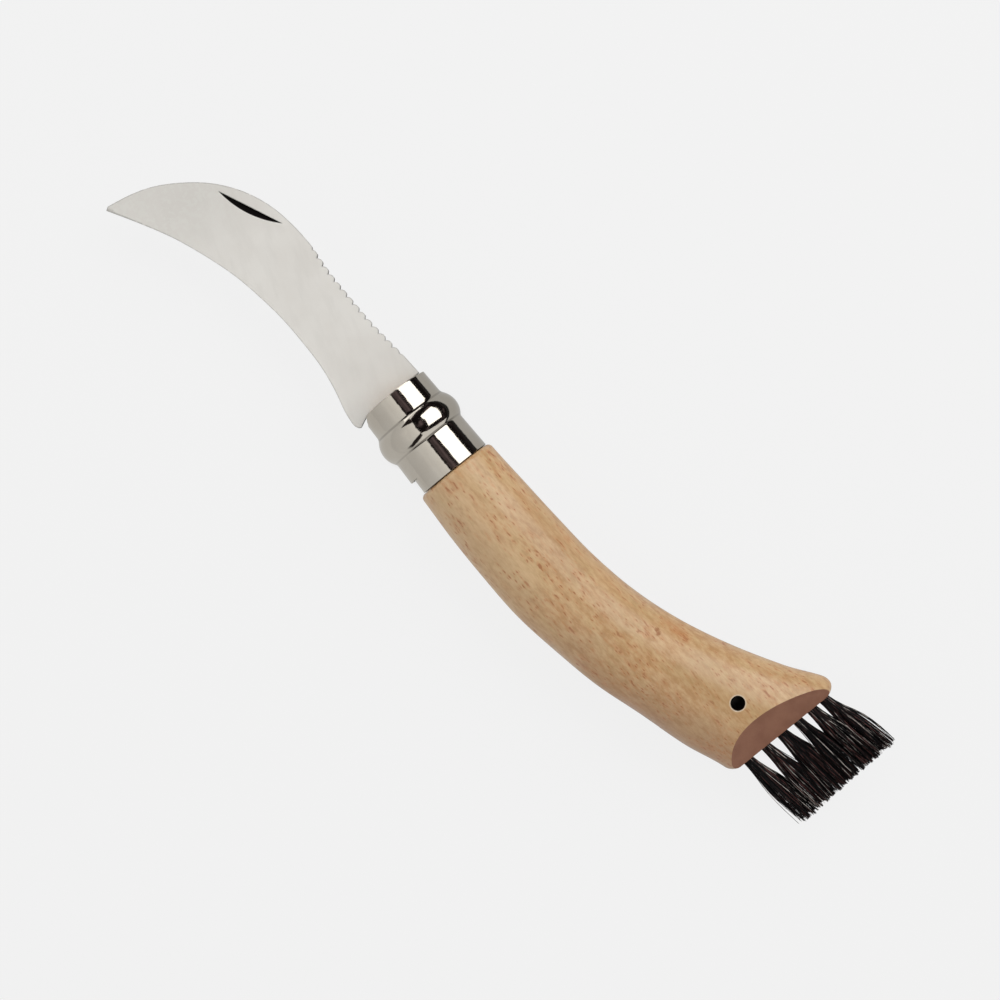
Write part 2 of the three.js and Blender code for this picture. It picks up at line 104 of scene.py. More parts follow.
HANDLE_SPINE_SHARES = [-0.498, -0.532, -0.569, -0.62, -0.725, -0.905, -1.164, -1.486, -1.85]
HANDLE_EDGE_SHARES = [0.461, 0.483, 0.481, 0.456, 0.368, 0.252, 0.076, -0.093, -0.305]
HANDLE_DEPTH_SHARES = [0.96, 0.985, 1, 1.005, 1.01, 1.005, 0.97, 0.9, 0.826]
HANDLE_LEAN_SHARES = [0, 0, 0, 0, 0, 0.005, 0.012, 0.023, 0.034]

# The collar: each half of the bead has a reach along the axis and a hollow radius at its foot

RING_FRONT = 9.85
RING_REAR = 12.7
RING_FRONT_RADIUS = 9.2
RING_REAR_RADIUS = 9.9
RING_WALL = 0.8
BEAD_HEIGHT = 1.4
BEAD_FRONT = (4.3, 1.8)
BEAD_REAR = (4, 1.2)
FERRULE_GAP = 0.35
FERRULE_WALL = 0.6
RING_LEVELS = 2
FERRULE_LEVELS = 1
FACET_DEPTH = 0.05
QUAD_FACE_ANGLE = math.radians(20)
QUAD_SHAPE_ANGLE = math.radians(60)

NECK_REAR_RADIUS = 7.95
NECK_FRONT_RADIUS = 7.2
NECK_FRONT = 9.85
NECK_IN_HANDLE = 2
NECK_SIDES = 96
PIN_HOLE_RADIUS = 1.5

# The saw cut: its outline runs from the collar along its floor to its rear end, past the edge side

SLOT_WIDTH = 2.4
SLOT_OUTLINE = [
    (13, 22), (13, -4.2), (-6.2, -4.2), (-8.8, -7.15), (-10.8, -7.15), (-17.3, -5.8),
    (-23.8, -4.15), (-30.4, -3.35), (-37, -3.05), (-43.7, -3.15), (-50.3, -3.8), (-57, -4.8),
    (-63.4, -6.5), (-69.7, -8.5), (-75.9, -11), (-81.9, -13.95), (-87.8, -17.05), (-89, -16.6),
    (-89.8, -12), (-90.4, -7), (-90.8, 0), (-90.8, 22),
]

BEVEL_ANGLE = math.radians(42)
END_STRIP = 5
LANYARD_RADIUS = 1.75
LANYARD = (-96.5, -17.7)
LANYARD_SIDES = 64
SMALL_HOLE_SIDES = 32

# The brush, from the edge side to the spine side: a tuft has a half width across the handle and
# through it, and strays are bristles that lean off at the tip, by tuft and number

TUFT_COUNT = 6
TUFT_FIRST = -11.2
TUFT_SPAN = 22.7
TUFT_SHARES = [0, 0.225, 0.446, 0.654, 0.84, 1]
TUFT_HOLE_RADIUS = 1.4
TUFT_HOLE_DEPTH = 8
BRISTLES = 400
BRISTLE_RADIUS = 0.085
BRISTLE_POINTS = 10
CLUMPS = 26
BRUSH_LENGTH = 19.9
BRUSH_SHORTENING = 1.1
BRUSH_TIP_FIRST = -15
BRUSH_TIP_SPAN = 23.6
BRUSH_LOW = (cad_box[0] - AXIS).y / MM + BRISTLE_RADIUS + MARGIN
BRUSH_FLARE_SHARES = [0, 0, 0.05, 0.2, 0.46, 0.72, 0.85, 0.92, 0.96, 0.98, 1]
TUFT_ROOT = (1.2, 1.15)
TUFT_TIP = (2.75, 2.6)
BRUSH_SEED = 40
BRISTLE_ROOT = 2.5
BRISTLE_TAPER = 0.45
CLUMP_SHIFT = (0.14, 0.12)
CLUMP_BOW = (0.2, 0.25)
CLUMP_SWING = 0.12
CLUMP_PHASE = 6.28
CLUMP_RATE = (5, 9)
CLUMP_SHORTER = 0.84
PULL_TO_CLUMP = (0.3, 0.8)
LENGTH_SPREAD = 0.25
LOOSE_SHARE = 0.15
LOOSE_SPREAD = 0.5
BRISTLE_BOW = 0.12
COLOUR_SHARES = (0.6, 0.28, 0.12)
STRAYS = {(0, 377): 1.3, (0, 356): 0.7, (0, 398): 0.4, (5, 383): -0.3}

NICK = (65.85, -1.6)
NICK_ANGLE = math.radians(24.4)
NICK_REACH = 9
NICK_HALF_WIDTH = 2.2
BLADE_HALF = 0.9

CAMERA_HEIGHT = 460
CAMERA_OVER = (-25.16, -4.25)
VIEW_WIDTH = 236.97
SENSOR_WIDTH = 36
NEAR_CLIP = 10
IMAGE_RIGHT = Vector((-0.6266, -0.7793, 0))

# Creases sharper than these degrees stay sharp

WOOD_CREASE = 32
SHEET_CREASE = 35
BLADE_CREASE = 14
HAIR_CREASE = 180

# Which faces take another finish, by the finish's number on the piece and the slant of their normals

HANDLE_END_FINISH = 1
HANDLE_BORE_FINISH = 2
HANDLE_BORE_SLANT = 0.5
HANDLE_END_SLANT = 0.9995
SHEET_CUT_FINISH = 1
SHEET_CUT_SLANT = 0.9
BLADE_NICK_FINISH = 1
BLADE_NICK_SLANTS = (0.1, 0.985)
BLADE_CUT_FINISH = 2
BLADE_CUT_SLANT = 0.3


# Colours

BEECH_BROWN = (0.47, 0.268, 0.11)
BEECH_PALE = (0.585, 0.378, 0.192)
BEECH_REAR = (0.47, 0.25, 0.088)
BEECH_YELLOW = (0.56, 0.4, 0.185)
BEECH_ORANGE = (0.52, 0.27, 0.1)
BEECH_CREAM = (0.645, 0.44, 0.235)
BEECH_DARK = (0.4, 0.21, 0.08)
BEECH_FIBRE = (0.46, 0.245, 0.1)
BEECH_FINE_FIBRE = (0.38, 0.2, 0.085)
BEECH_LOW_SIDE_SHADE = (0.32, 0.128, 0.044)
BEECH_FRONT_PAINTED_LIGHT = (0.68, 0.48, 0.27)
BEECH_FRONT_PAINTED_SHADE = (0.36, 0.19, 0.075)
BEECH_HIGHLIGHT_TINT = (0.455, 0.29, 0.118)
FLECK_RED = (0.32, 0.11, 0.032)
FLECK_BLUSH = (0.52, 0.225, 0.075)
SMEAR_RED = (0.47, 0.19, 0.06)
KNOT_BROWN = (0.31, 0.11, 0.025)
HOLE_RIM_HIGHLIGHT = (0.78, 0.68, 0.54)
END_DARK = (0.25, 0.105, 0.058)
END_LIGHT = (0.3, 0.132, 0.076)
END_PORES = (0.2, 0.083, 0.046)
BORE_SHADE_BLACK = (0.012, 0.008, 0.006)
BORE_SHADE_BROWN = (0.03, 0.018, 0.012)
SATIN_DARK = (0.85, 0.822, 0.77)
SATIN_LIGHT = (0.885, 0.862, 0.812)
SATIN_STREAK = (0.78, 0.755, 0.705)
SATIN_ENDS = (0.72, 0.695, 0.65)
SATIN_SPECK = (0.66, 0.64, 0.6)
SATIN_WORN = (0.83, 0.825, 0.77)
SATIN_EDGE_SHADE = (0.2, 0.195, 0.185)
NICK_PAINTED_SHADE = (0.004, 0.003, 0.003)
SHEARED_SHADED_DARK = (0.12, 0.11, 0.1)
SHEARED_SHADED_LIGHT = (0.3, 0.28, 0.255)
POLISH_DARK = (0.54, 0.49, 0.415)
POLISH_LIGHT = (0.63, 0.59, 0.52)
POLISH_FOOT_SHADE = (0.09, 0.075, 0.06)
CARD_DARK = (0.04, 0.03, 0.032)
WEDGE_DARK = (0.02, 0.015, 0.015)
HAIR_BLACK = ((0.001, 0.001, 0.0015), (0.006, 0.005, 0.005))
HAIR_BROWN = ((0.008, 0.003, 0.003), (0.1, 0.04, 0.036))
HAIR_GREY = ((0.01, 0.009, 0.009), (0.5, 0.46, 0.42))


def grey(value):
    return (value, value, value)


# Shader maths

class Value:
    """A socket whose sums read as plain expressions."""

    def __init__(self, paint, socket):
        self.paint = paint
        self.socket = socket

    def __add__(self, other):
        return self.paint.maths("ADD", self, other)

    def __sub__(self, other):
        return self.paint.maths("SUBTRACT", self, other)

    def __mul__(self, other):
        return self.paint.maths("MULTIPLY", self, other)

    def __rsub__(self, other):
        return self.paint.maths("SUBTRACT", other, self)

    __radd__ = __add__
    __rmul__ = __mul__


class Paint:
    """A node tree with short ways to add nodes to it."""

    def __init__(self, tree):
        self.tree = tree

    def node(self, kind, settings=None, inputs=None, output=0):
        made = self.tree.nodes.new(kind)
        for key, value in (settings or {}).items():
            if key == "stops":
                ramp = made.color_ramp
                while len(ramp.elements) < len(value):
                    ramp.elements.new(1)
                for element, (position, colour) in zip(ramp.elements, value):
                    element.position = position
                    element.color = (*colour, 1)
            else:
                setattr(made, key, value)
        for key, value in (inputs or {}).items():
            self.feed(made.inputs[key], value)
        return Value(self, made.outputs[output] if made.outputs else None)

    def feed(self, socket, value):
        if isinstance(value, Value):
            self.tree.links.new(value.socket, socket)
        elif socket.type == "RGBA":
            socket.default_value = (*value, 1)
        else:
            socket.default_value = value

    def maths(self, operation, a, b=0.0):
        return self.node("ShaderNodeMath", {"operation": operation}, {0: a, 1: b})

    def larger(self, a, b):
        return self.maths("MAXIMUM", a, b)

    def away(self, value, middle):
        """How far a value is from a middle one."""
        return self.maths("ABSOLUTE", value - middle)

    def vectors(self, operation, a, b=(0, 0, 0), output="Vector"):
        return self.node("ShaderNodeVectorMath", {"operation": operation}, {0: a, 1: b}, output)

    def along(self, axis):
        """Object places in millimetres along X, Y or Z."""
        return self.node("ShaderNodeSeparateXYZ", None, {0: self.points()}, axis)

    def ray(self, kind):
        """1 for light rays of one kind, 0 for others."""
        return self.node("ShaderNodeLightPath", output=f"Is {kind} Ray")

    def smooth(self, value, low, high):
        """0 below low, 1 above high, and an easy slope between; low above high turns it round."""
        settings = {"interpolation_type": "SMOOTHSTEP"}
        if low > high:
            return 1 - self.node("ShaderNodeMapRange", settings, {0: value, 1: high, 2: low})
        return self.node("ShaderNodeMapRange", settings, {0: value, 1: low, 2: high})

    def mix(self, share, a, b, blend="MIX"):
        settings = {"data_type": "RGBA", "blend_type": blend}
        return self.node("ShaderNodeMix", settings, {0: share, 6: a, 7: b}, 2)

    def coats(self, colour, *coats):
        """A colour with others laid over it in turn, each by its share."""
        for share, coat in coats:
            colour = self.mix(share, colour, coat)
        return colour

    def points(self, centre=(0, 0, 0), stretch=1, turn=0):
        """Object places in millimetres from a centre, turned in degrees about Z and stretched."""
        spans = stretch if isinstance(stretch, tuple) else (stretch, stretch, stretch)
        moved = self.vectors("SUBTRACT", self.node("ShaderNodeTexCoord", output="Object"), place(*centre))
        inputs = {"Vector": moved, "Rotation": (0, 0, math.radians(turn))}
        turned = self.node("ShaderNodeVectorRotate", {"rotation_type": "EULER_XYZ"}, inputs)
        return self.vectors("MULTIPLY", turned, tuple(span / MM for span in spans))

    def distance(self, centre, stretch):
        """How far a place is from a centre, in stretched millimetres."""
        return self.vectors("LENGTH", self.points(centre, stretch), output="Value")

    def noise(self, points, scale=1.0, detail=3.0, rough=0.5, output=0):
        inputs = {"Vector": points, "Scale": scale, "Detail": detail, "Roughness": rough}
        return self.node("ShaderNodeTexNoise", None, inputs, output)

    def bump(self, height, depth, edge):
        """A normal with relief and softly rounded edges, both in millimetres."""
        eased = self.node("ShaderNodeBevel", {"samples": 4}, {"Radius": edge * MM})
        inputs = {"Distance": depth * MM, "Height": height, "Normal": eased}
        return self.node("ShaderNodeBump", None, inputs)


class Finish(Paint):
    """A material with one Principled shader, whose sockets are set by their names."""

    def __init__(self, name, **sockets):
        self.material = bpy.data.materials.new(name)
        self.material.use_nodes = True
        super().__init__(self.material.node_tree)
        self.shader = self.tree.nodes["Principled BSDF"]
        self.set(**sockets)

    def set(self, **sockets):
        for key, value in sockets.items():
            self.feed(self.shader.inputs[key.replace("_", " ")], value)


# Modelling helpers

def pick(piece):
    bpy.ops.object.select_all(action="DESELECT")
    piece.select_set(True)
    bpy.context.view_layer.objects.active = piece


def edit(piece):
    pick(piece)
    bpy.ops.object.mode_set(mode="EDIT")
    bpy.ops.mesh.select_all(action="SELECT")


def leave():
    bpy.ops.object.mode_set(mode="OBJECT")


def settle(piece):
    """Puts a piece's place into its mesh."""
    pick(piece)
    bpy.ops.object.transform_apply(location=True, rotation=True, scale=True)


def linked(name, data):
    made = bpy.data.objects.new(name, data)
    bpy.context.scene.collection.objects.link(made)
    return made


def meshed(line):
    """A curve made into a piece of mesh."""
    pick(linked(line.name, line))
    bpy.ops.object.convert(target="MESH")
    return bpy.context.object


def face_outwards(piece):
    edit(piece)
    bpy.ops.mesh.normals_make_consistent(inside=False)
    leave()


def modify(piece, kind, **settings):
    modifier = piece.modifiers.new(kind.lower(), kind)
    for key, value in settings.items():
        setattr(modifier, key, value)
    pick(piece)
    bpy.ops.object.modifier_apply(modifier=modifier.name)


def combine(piece, other, operation):
    modify(piece, "BOOLEAN", object=other, operation=operation, solver="EXACT")
    bpy.data.objects.remove(other)


def smooth(piece, degrees):
    pick(piece)
    bpy.ops.object.shade_smooth_by_angle(angle=math.radians(degrees))


def paint_with(piece, *finishes):
    piece.data.materials.clear()
    for finish in finishes:
        piece.data.materials.append(finish.material)


def dress(piece, name, body, slot, finishes, *nodes):
    """Names a piece, gives it its finishes unless it has them, ties it to its body and hides the nodes it
    stands for.
    """
    piece.name = name
    piece.data.name = name
    if finishes:
        paint_with(piece, *finishes)
    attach(piece, body)
    if nodes:
        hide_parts(*nodes)
    return piece


def copied(node):
    """A joined-up copy of a node's loose triangles."""
    piece = linked(node + "_copy", frame["nodes"][node].data.copy())
    edit(piece)
    bpy.ops.mesh.remove_doubles(threshold=MERGE * MM)
    bpy.ops.mesh.customdata_custom_splitnormals_clear()
    leave()
    return piece


# Finishes: a noise or mask is a share from 0 to 1, and places are in millimetres

# Each size of fleck: its packing along and across the grain, its bend, its width and its rarity

BEECH_FLECKS = [(0.26, 0.95, 1.1, 0.32, 0.78), (0.55, 1.9, 0.9, 0.34, 0.79)]
GRAIN_TURN = -3
KNOT = (-71.6, -13.75, 9.2)
KNOT_LOBE = (-72.45, -13.6, 9.2)
SMEAR = (-73.8, -17.8, 7.8)


def beech_grain(paint, stretch, across):
    """Object places in millimetres, stretched along the grain and across it."""
    return paint.points(stretch=(stretch, across, across), turn=GRAIN_TURN)


def beech_flecks(paint):
    """Short flecks along the grain in two sizes, and the blush round them."""
    warp = paint.noise(beech_grain(paint, 0.5, 0.9), detail=2, output="Color")
    warp = paint.vectors("SUBTRACT", warp, grey(0.5))
    crowd = paint.smooth(paint.noise(beech_grain(paint, 0.07, 0.22), detail=2), 0.36, 0.62)
    flecks = 0.0
    blush = 0.0
    for stretch, across, bend, width, rarity in BEECH_FLECKS:
        bent = paint.vectors("ADD", beech_grain(paint, stretch, across),
                             paint.vectors("MULTIPLY", warp, grey(bend)))
        cells = {"Vector": bent, "Scale": 1.0, "Randomness": 1.0}
        distance = paint.node("ShaderNodeTexVoronoi", None, cells, "Distance")
        tint = paint.node("ShaderNodeTexVoronoi", None, cells, "Color")
        chance = paint.node("ShaderNodeSeparateColor", None, {0: tint}, "Red")
        kept = paint.smooth(chance + 0.45 * crowd, rarity, rarity + 0.36)
        flecks = flecks + paint.smooth(distance, width, width * 0.4) * kept
        blush = blush + paint.smooth(distance, width * 2, width * 0.6) * kept
    return paint.maths("MINIMUM", flecks, 1.0), paint.maths("MINIMUM", blush, 1.0)


def beech_knot(paint):
    """The small knot, with its second lobe, and the red smear beside it."""
    blotch = 1.6 * (paint.noise(paint.points(stretch=(1.1, 1.7, 1.2)), detail=1) - 0.5)
    waver = 1.4 * (paint.noise(paint.points(stretch=0.8)) - 0.5)
    first = paint.smooth(paint.distance(KNOT, (1.2, 1.5, 0.4)) + blotch, 1.0, 0.3)
    second = paint.smooth(paint.distance(KNOT_LOBE, (1.1, 1.5, 0.4)) + blotch, 1.1, 0.3)
    smear = paint.smooth(paint.distance(SMEAR, (0.17, 0.42, 0.3)) + waver, 1.15, 0.3)
    return paint.larger(first, second), smear


def beech():
    """Pale beech with soft figure, short red flecks along the grain and one small knot, plus painted light,
    shade and highlights.
    """
    paint = Finish("beech_varnished")
    figure = paint.noise(beech_grain(paint, 0.025, 0.17), detail=4, rough=0.55)
    mottle = paint.noise(beech_grain(paint, 0.35, 0.9), detail=3, rough=0.6)
    fibre = paint.noise(beech_grain(paint, 0.45, 2.6), detail=3, rough=0.6)
    tint = paint.noise(beech_grain(paint, 0.09, 0.26), detail=2)
    fine = paint.noise(beech_grain(paint, 0.6, 8), detail=2, rough=0.6)
    flecks, blush = beech_flecks(paint)
    knot, smear = beech_knot(paint)

    x = paint.along("X")
    y = paint.along("Y")
    # Painted light on the edge side of the front half, and painted shade on its spine side about 40 mm back
    painted_light_front = paint.smooth(x, -60, -35) * paint.smooth(y, -5, 3)
    painted_shade_front = paint.smooth(paint.away(x, -40), 16, 8) * paint.smooth(y, -2, -7)
    rear = paint.smooth(x, -38, -72) * (1 - 0.55 * paint.smooth(x, -86, -100))
    # Painted shade: the edge side of the rear half is darkened, as if turned from the light
    shaded_low_side = paint.smooth(y - 0.449 * x, 28, 42) * paint.smooth(x, -45, -75)
    rim = paint.distance((*LANYARD, 0), (1, 1, 0))

    hills = paint.noise(paint.points(stretch=(0.09, 0.12, 0.12)), detail=1)
    patches = paint.smooth(paint.noise(paint.points(stretch=(0.11, 0.22, 0.22)), detail=2), 0.32, 0.58)
    off_knot = 1 - paint.smooth(paint.away(x, -74), 8, 3)
    gleam = paint.smooth(x, -54, -62) * off_knot * (0.4 + 0.6 * patches)
    # Painted highlight: the base colour is tinted along the spine-side crest where the varnish's highlight
    # falls
    highlight_crest = paint.smooth(paint.away(y - 0.25 * x, 6.25), 7, 2)
    varnish = 0.4 + 0.38 * (gleam + 0.35 * paint.smooth(x, -36, -24)) - 0.3 * knot

    colour = paint.coats(
        paint.mix(paint.smooth(figure, 0.34, 0.66), BEECH_BROWN, BEECH_PALE),
        (rear * 0.75, BEECH_REAR),
        (paint.smooth(tint, 0.5, 0.62) * 0.35, BEECH_YELLOW),
        (paint.smooth(tint, 0.46, 0.34) * 0.35, BEECH_ORANGE),
        (paint.smooth(mottle, 0.36, 0.66) * 0.62, BEECH_CREAM),
        (paint.smooth(mottle, 0.46, 0.3) * 0.5, BEECH_DARK),
        (paint.smooth(fibre, 0.42, 0.66) * 0.3, BEECH_FIBRE),
        (paint.smooth(fine, 0.48, 0.72) * 0.3, BEECH_FINE_FIBRE),
        (shaded_low_side * 0.48, BEECH_LOW_SIDE_SHADE),
        (painted_light_front * 0.2, BEECH_FRONT_PAINTED_LIGHT),
        (painted_shade_front * 0.2, BEECH_FRONT_PAINTED_SHADE),
        (blush * 0.5, FLECK_BLUSH),
        (flecks * 0.75, FLECK_RED),
        (smear * 0.55, SMEAR_RED),
        (knot * 0.9, KNOT_BROWN),
        # Painted highlight: a pale ring round the drilled hole's rim
        (paint.smooth(rim, LANYARD_RADIUS + 0.4, LANYARD_RADIUS + 0.15) * 0.8, HOLE_RIM_HIGHLIGHT),
        (gleam * highlight_crest * 0.35, BEECH_HIGHLIGHT_TINT),
    )
    height = hills * 21 + 0.5 * fibre + 0.3 * fine - 0.5 * flecks + 0.3 * mottle
    paint.set(Base_Color=colour, Roughness=0.44 + 0.12 * mottle + 0.1 * flecks,
              Normal=paint.bump(height, 0.04, 0.35), Coat_Weight=varnish, Coat_Roughness=0.23)
    return paint


def end_grain():
    """Sawn wood across the grain, browner and duller than the sides."""
    paint = Finish("beech_end_grain")
    rings = paint.noise(paint.points(stretch=(0.1, 0.3, 0.3)))
    pores = paint.noise(paint.points(stretch=(2, 5, 5)), detail=2)
    colour = paint.coats(
        paint.mix(paint.smooth(rings, 0.3, 0.7), END_DARK, END_LIGHT),
        (paint.smooth(pores, 0.5, 0.75) * 0.2, END_PORES),
    )
    paint.set(Base_Color=colour, Roughness=0.62 + 0.1 * pores, Normal=paint.bump(pores, 0.03, 0.35))
    return paint


def bore_shade():
    """The drilled hole's wall, painted near black as painted shade in the deep narrow bore."""
    paint = Finish("drilled_wall_painted_shade", Specular_IOR_Level=0.05)
    bore_mottle = paint.noise(paint.points(stretch=1.5), detail=3)
    paint.set(Base_Color=paint.mix(bore_mottle, BORE_SHADE_BLACK, BORE_SHADE_BROWN), Roughness=0.85 + 0.1 * bore_mottle)
    return paint


def blade_steel(name):
    """Ground and tumbled blade steel, darker along its edges as painted shade: the finish and its colour.
    """
    paint = Finish(name, Metallic=0.6)
    cloud = paint.noise(paint.points(stretch=0.1), detail=3, rough=0.55)
    speck = paint.noise(paint.points(stretch=6), detail=2)
    worn = paint.noise(paint.points(stretch=0.9), detail=4)
    lines = paint.noise(paint.points(stretch=(9, 0.35, 2), turn=8), detail=2)
    streaks = paint.noise(paint.points(stretch=(0.12, 0.5, 0.5), turn=20), detail=3)
    x = paint.along("X")
    ends = paint.larger(paint.smooth(x, 58, 76), paint.smooth(x, 26, 12) * 0.6)
    # Painted shade: darker where the rounded normal turns from the flat one, along the blade's edges
    rounded = paint.node("ShaderNodeBevel", {"samples": 6}, {"Radius": 0.5 * MM})
    flat = paint.node("ShaderNodeNewGeometry", output="Normal")
    edge = 1 - paint.vectors("DOT_PRODUCT", rounded, flat, "Value")
    edge = paint.smooth(edge, 0.004, 0.1) * paint.smooth(worn, 0.25, 0.5)
    colour = paint.coats(
        paint.mix(paint.smooth(cloud, 0.3, 0.7), SATIN_DARK, SATIN_LIGHT),
        (paint.smooth(streaks, 0.45, 0.7) * 0.3, SATIN_STREAK),
        (ends * 0.5, SATIN_ENDS),
        (paint.smooth(speck, 0.55, 0.8) * 0.1, SATIN_SPECK),
        (paint.smooth(worn, 0.45, 0.6) * ends * 0.4, SATIN_WORN),
        (edge * 0.55, SATIN_EDGE_SHADE),
    )
    paint.set(Base_Color=colour, Roughness=0.46 + 0.06 * cloud + 0.06 * speck,
              Normal=paint.bump(0.5 * speck + 0.7 * lines, 0.006, 0.12))
    return paint, colour


def nick_steel():
    """The pressed nail nick, painted black where it is deep as painted shade and dark reflection."""
    paint, colour = blade_steel("nail_nick_painted_shade")
    # Painted shade: black deep in the nick
    deep = paint.smooth(paint.along("Z"), BLADE_HALF, BLADE_HALF - 0.04)
    paint.set(Base_Color=paint.mix(deep, colour, NICK_PAINTED_SHADE), Metallic=0.6 - 0.6 * deep,
              Roughness=0.5 + 0.4 * deep, Specular_IOR_Level=0.05)
    return paint


def cut_steel():
    """Sheared edges of steel sheet and the blade's cut walls: dull steel, painted dark as shade."""
    paint = Finish("sheared_steel_painted_shade", Metallic=1.0)
    streak = paint.noise(paint.points(stretch=3), detail=2)
    paint.set(Base_Color=paint.mix(streak, SHEARED_SHADED_DARK, SHEARED_SHADED_LIGHT), Roughness=0.35 + 0.2 * streak)
    return paint


def polished_steel():
    """Bright rolled collar steel with a faint ripple, hairline marks and painted shade in the bead's
    hollows.
    """
    paint = Finish("polished_collar_steel", Metallic=1.0)
    ripple = paint.noise(paint.points(stretch=0.35), detail=2)
    marks = paint.noise(paint.points(stretch=(0.8, 9, 9)), detail=3, rough=0.7)
    cloud = paint.noise(paint.points(stretch=0.2), detail=3)
    x = paint.along("X")
    # Painted shade: thin dark lines in the creases at the bead's feet
    middle = 1 - 0.75 * paint.smooth(paint.away(paint.along("Y"), -1.5), 4.5, 7.5)
    rear_foot_shade = paint.smooth(paint.away(x, -3.3), 0.32, 0.08) * middle
    front_foot_shade = paint.smooth(paint.away(x, 3.5), 0.4, 0.1)
    colour = paint.coats(
        paint.mix(cloud, POLISH_DARK, POLISH_LIGHT),
        (paint.larger(rear_foot_shade * 0.75, front_foot_shade * 0.3), POLISH_FOOT_SHADE),
    )
    roughness = 0.05 + 0.05 * cloud + 0.12 * paint.smooth(marks, 0.6, 0.85)
    paint.set(Base_Color=colour, Roughness=roughness, Normal=paint.bump(ripple, 0.05, 0.12))
    return paint


def bristle_hair(name, dark, light):
    """One colour of boar bristle, which varies from strand to strand and along it."""
    paint = Finish(name, Specular_IOR_Level=0.16)
    strand = paint.noise(paint.points(stretch=(0.3, 1.6, 1.6)), detail=3)
    colour = paint.mix(paint.smooth(strand, 0.42, 0.62), dark, light)
    paint.set(Base_Color=colour, Roughness=0.35 + 0.25 * strand)
    return paint


# Handle

def drawn(shares, share):
    """A smooth line through evenly spaced values."""
    spot = min(max(share, 0), 1) * (len(shares) - 1)
    i = min(int(spot), len(shares) - 2)
    w = spot - i
    a, b, c, d = (shares[min(max(i + k, 0), len(shares) - 1)] for k in (-1, 0, 1, 2))
    rise, fall = (c - a) / 2, (d - b) / 2
    cubic = 2 * b - 2 * c + rise + fall
    square = 3 * c - 3 * b - 2 * rise - fall
    return cubic * w**3 + square * w**2 + rise * w + b


def drawn_in(distance, rounding):
    """How far a rounded corner lies inside its square one, at a distance from the end."""
    left = min(max(0, rounding - distance), rounding)
    return rounding - math.sqrt(rounding**2 - left**2)


def handle_section(back):
    """Place, middle, half width and half depth of the handle a way back from its shoulder."""
    share = back / HANDLE_LENGTH
    inset = drawn_in(back, SHOULDER_ROUNDING)
    left = HANDLE_LENGTH - back
    low = drawn(HANDLE_SPINE_SHARES, share) * HANDLE_THICKNESS
    low += inset + drawn_in(left, END_SPINE_ROUNDING)
    high = drawn(HANDLE_EDGE_SHARES, share) * HANDLE_THICKNESS
    high -= inset + drawn_in(left, END_EDGE_ROUNDING)
    depth = drawn(HANDLE_DEPTH_SHARES, share) * HANDLE_THICKNESS / 2 - inset
    return -SHOULDER - back, (low + high) / 2, (high - low) / 2, depth


def lean_in(piece):
    """Makes the oval sections thicker on the cutting-edge side, more so towards the brush."""
    for vertex in piece.data.vertices:
        x, y, z = (vertex.co - AXIS) / MM
        back = -SHOULDER - x
        _, middle, half, depth = handle_section(back)
        lean = drawn(HANDLE_LEAN_SHARES, back / HANDLE_LENGTH) * HANDLE_THICKNESS
        vertex.co = place(x, y, z * (1 + lean / depth * (y - middle) / half))


def handle_blank():
    """The handle as one bar of oval sections, closer together where its ends are rounded."""
    bar = HANDLE_LENGTH - END_SPINE_ROUNDING - SHOULDER_ROUNDING
    backs = [SHOULDER_ROUNDING + bar * i / HANDLE_STATIONS for i in range(1, HANDLE_STATIONS)]
    for k in range(ROUNDING_STEPS + 1):
        part = 1 - math.cos(math.pi / 2 * k / ROUNDING_STEPS)
        backs += [SHOULDER_ROUNDING * part, HANDLE_LENGTH - END_SPINE_ROUNDING * part]
    sections = [handle_section(back) for back in sorted(backs)]
    x, y, wide, deep = sections[0]
    bpy.ops.mesh.primitive_circle_add(vertices=HANDLE_SIDES, radius=MM, fill_type="NGON",
                                      location=place(x, y), rotation=(0, math.pi / 2, 0))
    piece = bpy.context.object
    settle(piece)
    edit(piece)
    bpy.ops.transform.resize(value=(1, wide, deep))
    for nx, ny, nwide, ndeep in sections[1:]:
        step = ((nx - x) * MM, (ny - y) * MM, 0)
        bpy.ops.mesh.extrude_region_move(TRANSFORM_OT_translate={"value": step})
        bpy.ops.transform.resize(value=(1, nwide / wide, ndeep / deep))
        x, y, wide, deep = nx, ny, nwide, ndeep
    leave()
    face_outwards(piece)
    lean_in(piece)
    return piece


def prism(outline, thickness):
    """A flat outline given a thickness, centred on the knife's middle plane."""
    line = bpy.data.curves.new("outline", "CURVE")
    line.dimensions = "2D"
    line.fill_mode = "BOTH"
    line.extrude = thickness * MM / 2
    spline = line.splines.new("POLY")
    spline.points.add(len(outline) - 1)
    for point, (x, y) in zip(spline.points, outline):
        point.co = (x * MM, y * MM, 0, 1)
    spline.use_cyclic_u = True
    piece = meshed(line)
    piece.location = AXIS
    settle(piece)
    edit(piece)
    bpy.ops.mesh.remove_doubles(threshold=MERGE * MM)
    leave()
    face_outwards(piece)
    return piece


def rod(radius, start, end, sides):
    """A cylinder from one place to another."""
    run = end - start
    turn = run.to_track_quat("Z", "Y").to_euler()
    bpy.ops.mesh.primitive_cylinder_add(vertices=sides, radius=radius * MM, depth=run.length,
                                        location=(start + end) / 2, rotation=turn)
    piece = bpy.context.object
    settle(piece)
    return piece


def drill(piece, radius, x, y, sides):
    """A hole through the whole thickness of the handle."""
    near, far = place(x, y, HANDLE_THICKNESS), place(x, y, -HANDLE_THICKNESS)
    combine(piece, rod(radius, far, near, sides), "DIFFERENCE")


